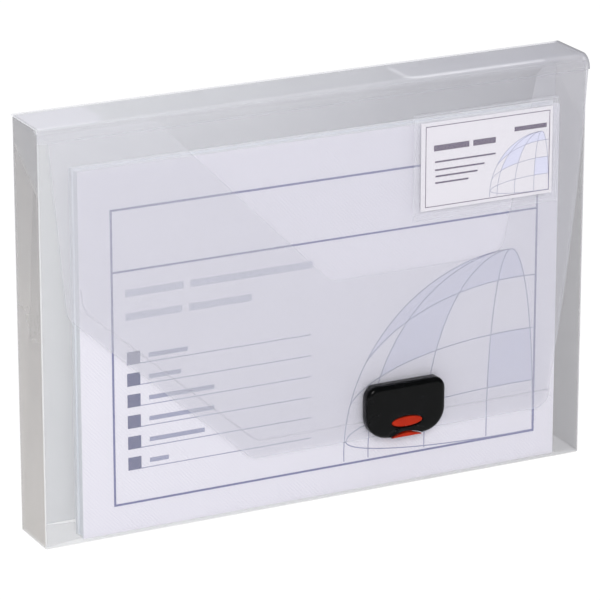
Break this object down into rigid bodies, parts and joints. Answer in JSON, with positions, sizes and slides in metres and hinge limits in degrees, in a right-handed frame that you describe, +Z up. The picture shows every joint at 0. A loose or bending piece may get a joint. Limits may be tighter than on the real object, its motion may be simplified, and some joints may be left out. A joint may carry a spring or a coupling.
{
  "type": "box file",
  "caption": "Translucent box file for A4 papers with a lid, a long front flap, a clear card pocket and a push lock, shown with papers inside.",
  "frame": {"origin": "on the floor under the middle of the case, on its bottom face", "axes": "+X along the width to the right as seen from the front, +Y from the front to the back, +Z up"},
  "size_m": [0.338, 0.0425, 0.239],
  "materials": {
    "clear_sheet": "frosted translucent sheet, about a third of the light blocked",
    "pocket_film": "clear glossy film",
    "black_moulding": "satin moulded",
    "red_moulding": "satin moulded",
    "steel": "bright drawn wire",
    "card": "white printed card",
    "printed_paper": "white paper with a pale blue print",
    "paper": "white office paper, cut edges"
  },
  "bodies": {
    "case": {"back_panel": "clear_sheet", "bottom_panel": "clear_sheet", "front_panel": "clear_sheet", "left_end_panel": "clear_sheet", "right_end_panel": "clear_sheet", "left_glue_tab": "clear_sheet", "right_glue_tab": "clear_sheet", "left_bottom_tab": "clear_sheet", "right_bottom_tab": "clear_sheet", "lock_keeper": "black_moulding", "keeper_backplate": "black_moulding", "keeper_rivets": "black_moulding", "cover_sheet": "printed_paper", "document_stack": "paper"},
    "left_dust": {"left_dust_flap": "clear_sheet"},
    "right_dust": {"right_dust_flap": "clear_sheet"},
    "lid": {"lid_top_panel": "clear_sheet"},
    "flap": {"lid_flap": "clear_sheet", "card_pocket": "pocket_film", "lock_cover": "black_moulding", "lock_backplate": "black_moulding", "lock_rivets": "black_moulding", "lock_pivot_pin": "steel", "button_spring": "steel"},
    "button": {"lock_button": "red_moulding"},
    "card": {"name_card": "card"}
  },
  "joints": [
    {"name": "lid_hinge", "type": "hinge", "parent": "case", "child": "lid", "pos_m": [0, 0.017, 0.239], "axis": [-1, 0, 0], "range_deg": [0, 180]},
    {"name": "flap_hinge", "type": "hinge", "parent": "lid", "child": "flap", "pos_m": [0, -0.019, 0.231], "axis": [-1, 0, 0], "range_deg": [0, 175]},
    {"name": "left_dust_hinge", "type": "hinge", "parent": "case", "child": "left_dust", "pos_m": [-0.1665, 0, 0.237], "axis": [0, 1, 0], "range_deg": [0, 38], "stiffness_Nm_per_rad": 0.002, "springref_deg": -17.19},
    {"name": "right_dust_hinge", "type": "hinge", "parent": "case", "child": "right_dust", "pos_m": [0.1665, 0, 0.237], "axis": [0, -1, 0], "range_deg": [0, 13], "stiffness_Nm_per_rad": 0.012, "springref_deg": -17.19},
    {"name": "button_rocker", "type": "hinge", "parent": "flap", "child": "button", "pos_m": [0.0507, -0.0224, 0.037], "axis": [-1, 0, 0], "range_deg": [0, 12], "stiffness_Nm_per_rad": 0.03, "springref_deg": -11.46},
    {"name": "card_slide", "type": "slide", "parent": "flap", "child": "card", "axis": [-1, 0, 0], "range_m": [0, 0.09]}
  ]
}
